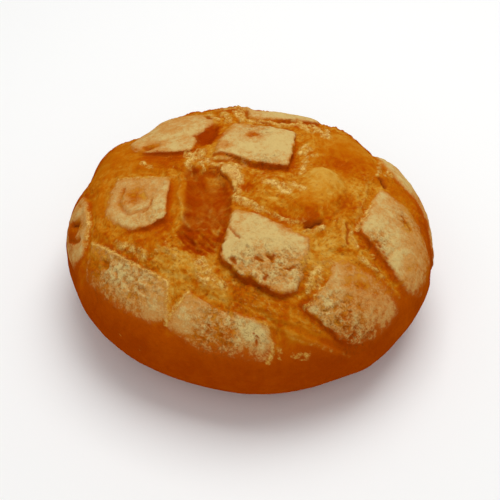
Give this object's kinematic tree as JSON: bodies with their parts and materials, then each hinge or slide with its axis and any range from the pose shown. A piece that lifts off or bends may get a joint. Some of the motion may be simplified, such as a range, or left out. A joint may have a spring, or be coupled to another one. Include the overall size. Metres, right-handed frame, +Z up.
{
  "type": "round scored loaf",
  "caption": "Round hearth loaf baked as one piece, domed over a flat foot, its crust scored crosswise into raised floured tiles with lower torn bands between them.",
  "frame": {"origin": "middle of the flat foot, on the surface that the loaf stands on, under the middle of its outline", "axes": "+Z up through the crown, +X along the widest spread of the loaf, -Y towards the front, where the brown side shows most"},
  "size_m": [0.2284, 0.2224, 0.0958],
  "materials": {
    "crust": "dry baked crust: golden torn bands, brown sides and foot, matt flour on the raised tiles"
  },
  "bodies": {
    "root": {"loaf": "crust"}
  },
  "joints": []
}
